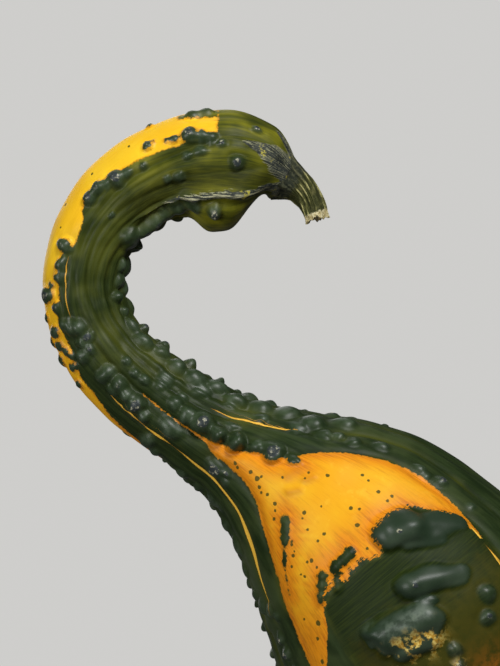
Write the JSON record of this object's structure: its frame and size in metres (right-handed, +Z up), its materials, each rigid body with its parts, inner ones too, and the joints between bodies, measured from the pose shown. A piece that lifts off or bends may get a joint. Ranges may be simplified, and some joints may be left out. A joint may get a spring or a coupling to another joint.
{
  "type": "ornamental gourd",
  "caption": "Warted swan-neck gourd: round bulb, ribbed neck that crooks over into a hooked head with a short ridged stem, standing on a small flat spot.",
  "frame": {"origin": "middle of the flat spot under the bulb that the gourd stands on", "axes": "+Z up; the neck and head curve in the XZ plane, the hooked head's stem points to +X, and the yellow-panelled side faces -Y"},
  "size_m": [0.176, 0.1019, 0.2174],
  "materials": {
    "gourd_skin": "satin waxy rind, dark green and olive with golden yellow bands, and glossier green warts with grey corky scabs",
    "dry_stem": "dull dry fibrous stem, grey-green with pale corky ridges and a ragged cream cut end"
  },
  "bodies": {
    "root": {"fruit": "gourd_skin", "stem": "dry_stem"}
  },
  "joints": []
}
